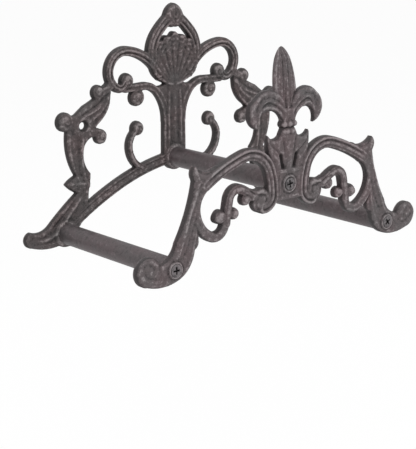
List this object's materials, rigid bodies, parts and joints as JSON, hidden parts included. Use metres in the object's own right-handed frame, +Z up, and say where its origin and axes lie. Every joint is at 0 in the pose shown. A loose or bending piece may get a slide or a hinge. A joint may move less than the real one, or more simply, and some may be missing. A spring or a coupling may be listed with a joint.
{
  "type": "hose hanger",
  "caption": "Cast-iron wall hanger for a garden hose: two scrollwork plates with a shell and a fleur-de-lis, held apart by round bars that carry the coil.",
  "frame": {"origin": "on the wall plane, midway between the two wall screw holes", "axes": "+X to the right seen from the front, +Z up, +Y into the wall, so the front faces -Y"},
  "size_m": [0.3694, 0.1785, 0.2316],
  "materials": {
    "cast_iron": "dark brown antique coating over sand-cast iron, worn lighter on the ridges",
    "cast_iron_front": "grey brown antique coating over sand-cast iron, worn lighter on the ridges",
    "bar_iron": "dark satin coating over drawn bar",
    "screw_steel": "blackened steel"
  },
  "bodies": {
    "root": {"back_plate": "cast_iron", "front_plate": "cast_iron_front", "top_bar": "bar_iron", "left_bar": "bar_iron", "right_bar": "bar_iron", "front_screws": "screw_steel", "rear_screws": "screw_steel"}
  },
  "joints": []
}
